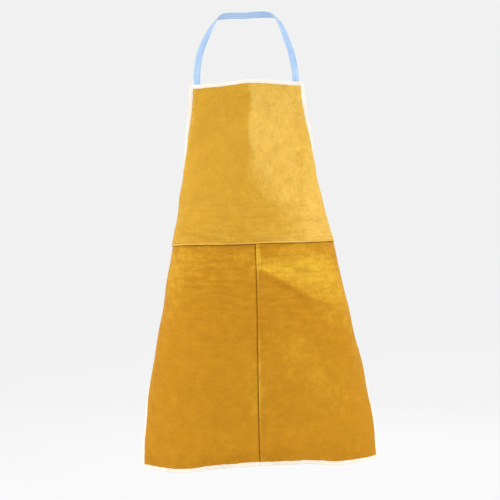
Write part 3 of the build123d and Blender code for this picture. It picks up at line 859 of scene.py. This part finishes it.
# ---- Materials
class Nodes:
    """A material's node tree, with short ways to add nodes and link them."""

    def __init__(self, name):
        self.material = bpy.data.materials.new(name)
        self.material.use_nodes = True
        self.tree = self.material.node_tree
        self.shader = self.tree.nodes["Principled BSDF"]
        self.uv = self.add("ShaderNodeUVMap").outputs[0]
        self.uv.node.uv_map = "flat"
        split = self.add("ShaderNodeSeparateXYZ", self.uv)
        self.u, self.v = split.outputs[0], split.outputs[1]

    def add(self, kind, *inputs, **settings):
        node = self.tree.nodes.new(kind)
        for key, value in settings.items():
            setattr(node, key, value)
        for k, value in enumerate(inputs):
            self.feed(node.inputs[k], value)
        return node

    def feed(self, socket, value):
        if isinstance(value, bpy.types.NodeSocket):
            self.tree.links.new(value, socket)
        elif value is not None:
            socket.default_value = value

    def math(self, operation, a, b=None, c=None):
        return self.add("ShaderNodeMath", a, b, c, operation=operation).outputs[0]

    def sine(self, value, wavelength):
        return self.math("SINE", self.math("MULTIPLY", value, 2 * math.pi / wavelength))

    def noise(self, scale, detail=3.0, roughness=0.55, stretch=(1, 1), shift=0.0):
        """Noise over the flat sheet, with scale as the number of blotches in a metre."""
        moved_uv = self.add("ShaderNodeMapping", self.uv, (shift, shift * 0.7, shift * 0.3), None,
                            (stretch[0], stretch[1], 1)).outputs[0]
        node = self.add("ShaderNodeTexNoise", noise_dimensions="3D")
        self.feed(node.inputs["Vector"], moved_uv)
        self.feed(node.inputs["Scale"], float(scale))
        self.feed(node.inputs["Detail"], detail)
        self.feed(node.inputs["Roughness"], roughness)
        return node.outputs[0]

    def ranged(self, value, low, high, to_low=0.0, to_high=1.0):
        node = self.add("ShaderNodeMapRange", value, low, high, to_low, to_high)
        node.interpolation_type = "SMOOTHSTEP"
        return node.outputs[0]

    def mix(self, share, a, b):
        node = self.add("ShaderNodeMix", data_type="RGBA", clamp_factor=True)
        self.feed(node.inputs[0], share)
        self.feed(node.inputs[6], a)
        self.feed(node.inputs[7], b)
        return node.outputs[2]

    def bump(self, height, distance, strength=1.0, under=None):
        node = self.add("ShaderNodeBump")
        self.feed(node.inputs["Strength"], strength)
        self.feed(node.inputs["Distance"], distance)
        self.feed(node.inputs["Height"], height)
        self.feed(node.inputs["Normal"], under)
        return node.outputs[0]

    def finish(self, colour, roughness, normal, sheen, sheen_roughness, tint, specular=0.25):
        self.feed(self.shader.inputs["Base Color"], colour)
        self.feed(self.shader.inputs["Roughness"], roughness)
        self.feed(self.shader.inputs["Normal"], normal)
        self.shader.inputs["Sheen Weight"].default_value = sheen
        self.shader.inputs["Sheen Roughness"].default_value = sheen_roughness
        self.shader.inputs["Sheen Tint"].default_value = tint
        self.shader.inputs["Specular IOR Level"].default_value = specular
        return self.material


def linear(red, green, blue):
    """A display colour, from 0 to 255, as linear light."""
    channel = [v / 255 for v in (red, green, blue)]
    return tuple(v / 12.92 if v <= 0.04045 else ((v + 0.055) / 1.055) ** 2.4 for v in channel) + (1.0,)


def suede(name, dark, middle, light, shift, shade):
    """Split leather: a short, brushed pile over a mottled hide, with painted light and shade of folds,
    creases and seams.
    """
    n = Nodes(name)
    broad = n.noise(6.5, 3, 0.6, (1, 0.75), shift)
    patches = n.noise(46, 4, 0.62, (1, 0.8), shift + 3)
    brushed = n.noise(150, 4, 0.65, (1.0, 0.75), shift + 5)
    tufts = n.noise(420, 3, 0.7, (1, 0.85), shift + 6)
    fleck = n.noise(1500, 2, 0.7, (1, 0.6), shift + 7)
    # The sheet's attribute carries painted light and shade as well as the nap's own tone
    brushing_and_painted_light = n.add("ShaderNodeAttribute", attribute_name="brushed_tone_and_painted_light").outputs["Fac"]
    brushing_and_painted_light = n.math("ADD", brushing_and_painted_light, n.math("MULTIPLY_ADD", broad, 0.50, -0.25))
    brushing_and_painted_light = n.math("ADD", brushing_and_painted_light, n.math("MULTIPLY_ADD", patches, 0.70, -0.35))
    brushing_and_painted_light = n.math("ADD", brushing_and_painted_light, n.math("MULTIPLY_ADD", brushed, 0.70, -0.35))
    colour = n.mix(n.ranged(brushing_and_painted_light, -1.2, 0.0), dark, middle)
    colour = n.mix(n.ranged(brushing_and_painted_light, 0.0, 1.2), colour, light)
    # Fine creases across the sheet, strongest round the waist, where the leather bends; their dark streaks
    # are painted shade and their pale streaks painted highlight
    across = n.noise(70, 4, 0.6, (0.30, 1.4), 31)
    bent = n.math("MULTIPLY", n.ranged(n.v, -0.36, -0.25, 1.0, 0.12), n.ranged(n.v, -0.68, -0.42, 0.20, 1.0))
    colour = n.mix(n.math("MULTIPLY", n.ranged(across, 0.34, 0.52, 0.30, 0.0), bent), colour, dark)
    colour = n.mix(n.math("MULTIPLY", n.ranged(across, 0.50, 0.72, 0.0, 0.30), bent), colour, light)
    colour = shade(n, colour)
    tone = n.math("MULTIPLY_ADD", brushed, 0.16, 0.80)
    tone = n.math("MULTIPLY", tone, n.math("MULTIPLY_ADD", patches, 0.28, 0.86))
    tone = n.math("MULTIPLY", tone, n.math("MULTIPLY_ADD", tufts, 0.50, 0.75))
    tone = n.math("MULTIPLY", tone, n.math("MULTIPLY_ADD", fleck, 0.50, 0.84))
    grey = n.add("ShaderNodeCombineColor", tone, tone, tone).outputs[0]
    tone_and_highlight = n.mix(1.0, colour, grey)
    tone_and_highlight.node.blend_type = "MULTIPLY"
    # Scattered darker marks in the hide
    scar = n.ranged(n.noise(15, 5, 0.7, (0.5, 1.6), shift + 9), 0.66, 0.74)
    colour = n.mix(n.math("MULTIPLY", scar, 0.18), tone_and_highlight, dark)
    height = n.math("MULTIPLY_ADD", tufts, 0.40, n.math("MULTIPLY", fleck, 0.20))
    height = n.math("MULTIPLY_ADD", brushed, 0.45, height)
    creased = n.bump(n.math("MULTIPLY", across, bent), 0.0030, 0.7)
    normal = n.bump(height, 0.0016, 0.75, creased)
    roughness = n.math("MULTIPLY_ADD", brushed, 0.12, 0.86)
    return n.finish(colour, roughness, normal, 0.35, 0.40, linear(255, 214, 110), 0.12)


def seam_grime_and_shadow(n, colour, value, start, end):
    """Darker on the outside along a seam: a cut edge's own darker colour, and painted shadow beside an edge
    that stands over a panel.
    """
    outside = n.add("ShaderNodeAttribute", attribute_name="outside").outputs["Fac"]
    dirt_and_shadow = n.math("MULTIPLY", n.ranged(value, start, end, 0.0, 0.68), outside)
    return n.mix(dirt_and_shadow, colour, linear(96, 58, 10))


def bib_shade(n, colour):
    return seam_grime_and_shadow(n, colour, n.v, -BIB_LENGTH + 0.0003, -BIB_LENGTH)


def skirt_right_shade(n, colour):
    # Painted shadow under the bib's lower edge, and painted shadow cast by the left panel's lapped edge
    # beside the centre seam
    colour = seam_grime_and_shadow(n, colour, n.v, -BIB_LENGTH - 0.0030, -BIB_LENGTH - 0.0005)
    return seam_grime_and_shadow(n, colour, n.u, -0.0040, -0.0006)


def skirt_left_shade(n, colour):
    # Painted shadow under the bib's lower edge, then the panel's own darker cut edge at the centre seam
    colour = seam_grime_and_shadow(n, colour, n.v, -BIB_LENGTH - 0.0030, -BIB_LENGTH - 0.0005)
    return seam_grime_and_shadow(n, colour, n.u, 0.0005, 0.0)


BIB_TONES = (linear(178, 128, 28), linear(203, 153, 47), linear(226, 183, 84))
SKIRT_TONES = (linear(164, 104, 12), linear(190, 131, 26), linear(222, 174, 50))
bib_suede = suede("bib_suede", *BIB_TONES, 0.0, bib_shade)
skirt_right_suede = suede("skirt_right_suede", *SKIRT_TONES, 11.0, skirt_right_shade)
skirt_left_suede = suede("skirt_left_suede", *SKIRT_TONES, 23.0, skirt_left_shade)


def woven_binding():
    """A soft cotton binding in plain weave, cream, slightly soiled."""
    n = Nodes("binding_cotton")
    warp = n.sine(n.u, 0.0010)
    weft = n.sine(n.v, 0.0008)
    weave = n.math("MULTIPLY", warp, weft)
    soil = n.noise(22, 4, 0.6)
    slub = n.noise(420, 2, 0.6, (0.35, 1.0), 2)
    colour = n.mix(n.ranged(soil, 0.42, 0.78), linear(243, 237, 224), linear(230, 218, 196))
    threads = n.math("MULTIPLY_ADD", weave, 0.05, n.math("MULTIPLY", slub, 0.16))
    colour = n.mix(threads, colour, linear(214, 190, 150))
    height = n.math("MULTIPLY_ADD", weave, 0.5, n.math("MULTIPLY", slub, 0.8))
    normal = n.bump(height, 0.00022, 0.8)
    roughness = n.math("MULTIPLY_ADD", slub, 0.15, 0.80)
    return n.finish(colour, roughness, normal, 0.15, 0.5, linear(255, 250, 240))


def woven_tape():
    """Pale blue cotton tape in herringbone, with lengthwise streaks."""
    n = Nodes("tie_tape_cotton")
    rib = 0.0032
    folded = n.math("ABSOLUTE", n.math("SUBTRACT", n.math("MODULO", n.math("ADD", n.v, 0.1), rib), rib / 2))
    chevron = n.sine(n.math("ADD", n.u, folded), 0.0011)
    spine = n.ranged(folded, rib / 2 - 0.00022, rib / 2, 0, 1)
    streak = n.noise(700, 2, 0.6, (0.02, 1.0), 4)
    fade = n.noise(30, 3, 0.6)
    colour = n.mix(n.ranged(streak, 0.34, 0.68), linear(146, 182, 226), linear(194, 218, 243))
    colour = n.mix(n.math("MULTIPLY", n.ranged(fade, 0.40, 0.75), 0.45), colour, linear(190, 212, 238))
    colour = n.mix(n.math("MULTIPLY_ADD", chevron, 0.09, 0.09), colour, linear(122, 158, 212))
    height = n.math("MULTIPLY_ADD", chevron, 0.45, n.math("MULTIPLY", spine, -0.8))
    normal = n.bump(height, 0.00022, 0.9)
    roughness = n.math("MULTIPLY_ADD", fade, 0.15, 0.74)
    return n.finish(colour, roughness, normal, 0.2, 0.4, linear(240, 246, 255))


def twisted_thread(name, base, dark):
    """Thread twisted from plies, which show as slanting bands, with painted shade in the grooves between
    them.
    """
    n = Nodes(name)
    ply = n.math("ADD", n.math("MULTIPLY", n.u, 1 / 0.0011), n.v)
    bands = n.math("SINE", n.math("MULTIPLY", ply, 2 * math.pi))
    soil = n.noise(50, 3, 0.6)
    # Painted shade in the grooves between the plies
    colour = n.mix(n.ranged(bands, -1.0, 0.4, 0.55, 0.0), base, dark)
    colour = n.mix(n.math("MULTIPLY", soil, 0.25), colour, dark)
    normal = n.bump(bands, 0.00008, 0.8)
    roughness = n.math("MULTIPLY_ADD", soil, 0.2, 0.6)
    return n.finish(colour, roughness, normal, 0.1, 0.4, linear(255, 250, 235))


binding_cotton = woven_binding()
tape_cotton = woven_tape()
seam_thread = twisted_thread("seam_thread", linear(206, 152, 56), linear(160, 108, 34))
edge_thread = twisted_thread("edge_thread", linear(250, 242, 226), linear(206, 190, 160))
tack_thread = twisted_thread("tack_thread", linear(210, 162, 60), linear(170, 122, 40))


# ---- Pieces: the CAD nodes each stands for, its material, its slot and the body or joint it goes with
BIB_SWING = ("neck", "bib", (0, -0.19, -0.120), (0, -0.19, -0.200))
SKIRT_SWING = ("bib", "skirt", (0, -0.20, -0.520), (0, -0.20, -0.680))
TAIL_LEFT_SWING = ("bib", "tail_left", (0.0095, 0.024, -0.500), (0.0095, 0.024, -0.530))
TAIL_RIGHT_SWING = ("bib", "tail_right", (-0.0095, 0.024, -0.500), (-0.0095, 0.024, -0.530))

PIECES = (
    (bib_leather, "bib_panel", bib_suede, "suede", SKIRT_SWING),
    (skirt_leather_left, "skirt_panel_left", skirt_left_suede, "suede", SKIRT_SWING),
    (skirt_leather_right, "skirt_panel_right", skirt_right_suede, "suede", SKIRT_SWING),
    (top_bound, "top_binding", binding_cotton, "binding", "bib"),
    (bib_bound_left, "bib_binding_left", binding_cotton, "binding", SKIRT_SWING),
    (bib_bound_right, "bib_binding_right", binding_cotton, "binding", SKIRT_SWING),
    (skirt_bound_left, "skirt_binding_left", binding_cotton, "binding", SKIRT_SWING),
    (skirt_bound_right, "skirt_binding_right", binding_cotton, "binding", SKIRT_SWING),
    (hem_bound, "hem_binding", binding_cotton, "binding", "skirt"),
    (waist_thread, "waist_seam_stitching", seam_thread, "thread", SKIRT_SWING),
    (centre_thread, "centre_seam_stitching", seam_thread, "thread", SKIRT_SWING),
    (top_thread, "top_binding_stitching", edge_thread, "thread", "bib"),
    (bib_thread_left, "bib_binding_stitching_left", edge_thread, "thread", SKIRT_SWING),
    (bib_thread_right, "bib_binding_stitching_right", edge_thread, "thread", SKIRT_SWING),
    (skirt_thread_left, "skirt_binding_stitching_left", edge_thread, "thread", SKIRT_SWING),
    (skirt_thread_right, "skirt_binding_stitching_right", edge_thread, "thread", SKIRT_SWING),
    (hem_thread, "hem_binding_stitching", edge_thread, "thread", "skirt"),
    (strap_box_left, "strap_tack_left", tack_thread, "thread", "bib"),
    (strap_box_right, "strap_tack_right", tack_thread, "thread", "bib"),
    (tie_box_left, "tie_tack_left", tack_thread, "thread", "bib"),
    (tie_box_right, "tie_tack_right", tack_thread, "thread", "bib"),
    (neck_tape, "neck_strap", tape_cotton, "tape", BIB_SWING),
    (tie_tape_left, "waist_tie_left", tape_cotton, "tape", "bib"),
    (tie_tape_right, "waist_tie_right", tape_cotton, "tape", "bib"),
    (knot_tape, "tie_knot", tape_cotton, "tape", "bib"),
    (loop_left, "bow_loop_left", tape_cotton, "tape", "bib"),
    (loop_right, "bow_loop_right", tape_cotton, "tape", "bib"),
    (tail_left, "tie_tail_left", tape_cotton, "tape", TAIL_LEFT_SWING),
    (tail_right, "tie_tail_right", tape_cotton, "tape", TAIL_RIGHT_SWING),
)

for piece, node, material, slot, _ in PIECES:
    piece.data.materials.append(material)
    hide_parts(node)

# ---- Floor, light and camera
FLOOR_Z = -1.55
FLOOR_REACH = 40.0


def pale_floor():
    """Matt white paper, with painted shade close to the apron."""
    n = Nodes("pale_floor")
    cloud = n.noise(0.6, 2, 0.5)
    colour = n.mix(cloud, linear(243, 243, 243), linear(240, 240, 241))
    across = n.math("POWER", n.math("SUBTRACT", n.u, FLOOR_REACH), 2.0)
    deep = n.math("POWER", n.math("SUBTRACT", n.v, FLOOR_REACH), 2.0)
    away = n.math("SQRT", n.math("ADD", across, deep))
    # Painted shade on the floor round the apron
    colour = n.mix(n.ranged(away, 0.5, 4.5, 1.0, 0.0), colour, linear(226, 226, 227))
    return n.finish(colour, n.math("MULTIPLY_ADD", cloud, 0.1, 0.85), None, 0.0, 0.5, (1, 1, 1, 1), 0.1)


floor_corners = ((-FLOOR_REACH, -FLOOR_REACH), (FLOOR_REACH, -FLOOR_REACH), (FLOOR_REACH, FLOOR_REACH),
                 (-FLOOR_REACH, FLOOR_REACH))
floor_points = [(x, y, FLOOR_Z) for x, y in floor_corners]
floor_uv = [(x + FLOOR_REACH, y + FLOOR_REACH) for x, y in floor_corners]
floor = new_mesh("floor", floor_points, [(0, 1, 2, 3)], floor_uv, smooth_shading=False)
floor.data.materials.append(pale_floor())


def softbox(name, power, size, place_at, towards):
    light = bpy.data.lights.new(name, "AREA")
    light.energy = power
    light.shape = "DISK"
    light.size = size
    return lamp(name, light, place_at, towards)


def lamp(name, light, place_at, towards):
    holder = bpy.data.objects.new(name, light)
    bpy.context.scene.collection.objects.link(holder)
    holder.location = place_at
    holder.rotation_euler = (Vector(towards) - Vector(place_at)).to_track_quat("-Z", "Y").to_euler()
    return holder


MIDDLE = (0, -0.2, -0.62)
key = softbox("key_light", 13, 1.0, (1.5, -2.6, 0.7), MIDDLE)
fill = softbox("fill_light", 30, 1.8, (-2.45, -0.35, -0.3), MIDDLE)
side = softbox("side_light", 11, 1.8, (2.45, -0.20, -0.3), MIDDLE)
back = softbox("back_light", 10, 2.0, (0.4, 2.6, 0.8), MIDDLE)
overhead = bpy.data.lights.new("overhead_light", "SUN")
overhead.energy = 1.35
overhead.angle = math.radians(24)
overhead_lamp = lamp("overhead_light", overhead, (0.7, -1.6, 2.0), MIDDLE)

# The studio's walls are bright round about and dimmer overhead
world = bpy.data.worlds.new("studio")
world.use_nodes = True
HORIZON_STRENGTH = 0.88
OVERHEAD_STRENGTH = 0.45
studio = world.node_tree
walls = studio.nodes["Background"]
walls.inputs["Color"].default_value = (1.0, 1.0, 1.0, 1.0)
looking = studio.nodes.new("ShaderNodeTexCoord")
height = studio.nodes.new("ShaderNodeSeparateXYZ")
dimming = studio.nodes.new("ShaderNodeMapRange")
dimming.inputs["From Min"].default_value = 0.30
dimming.inputs["From Max"].default_value = 0.95
dimming.inputs["To Min"].default_value = HORIZON_STRENGTH
dimming.inputs["To Max"].default_value = OVERHEAD_STRENGTH
studio.links.new(looking.outputs["Generated"], height.inputs[0])
studio.links.new(height.outputs["Z"], dimming.inputs["Value"])
studio.links.new(dimming.outputs["Result"], walls.inputs["Strength"])
bpy.context.scene.world = world
bpy.context.scene.view_settings.view_transform = "Standard"

CAMERA_PLACE = (-0.0062, -2.68, -0.603)
CAMERA_TILT = math.radians(2.1)
camera_data = bpy.data.cameras.new("camera")
camera_data.lens = 75
camera_data.sensor_width = 36
camera = bpy.data.objects.new("camera", camera_data)
bpy.context.scene.collection.objects.link(camera)
camera_up = Vector((math.sin(CAMERA_TILT), 0, math.cos(CAMERA_TILT)))
camera_back = Vector((0, -1, 0))
camera_right = camera_up.cross(camera_back)
camera_turn = Matrix((camera_right, camera_up, camera_back)).transposed().to_4x4()
camera.matrix_world = Matrix.Translation(CAMERA_PLACE) @ camera_turn
bpy.context.scene.camera = camera

# ---- Motion
for piece, *_, motion in PIECES:
    if isinstance(motion, str):
        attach(piece, motion)
    else:
        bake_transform(piece)
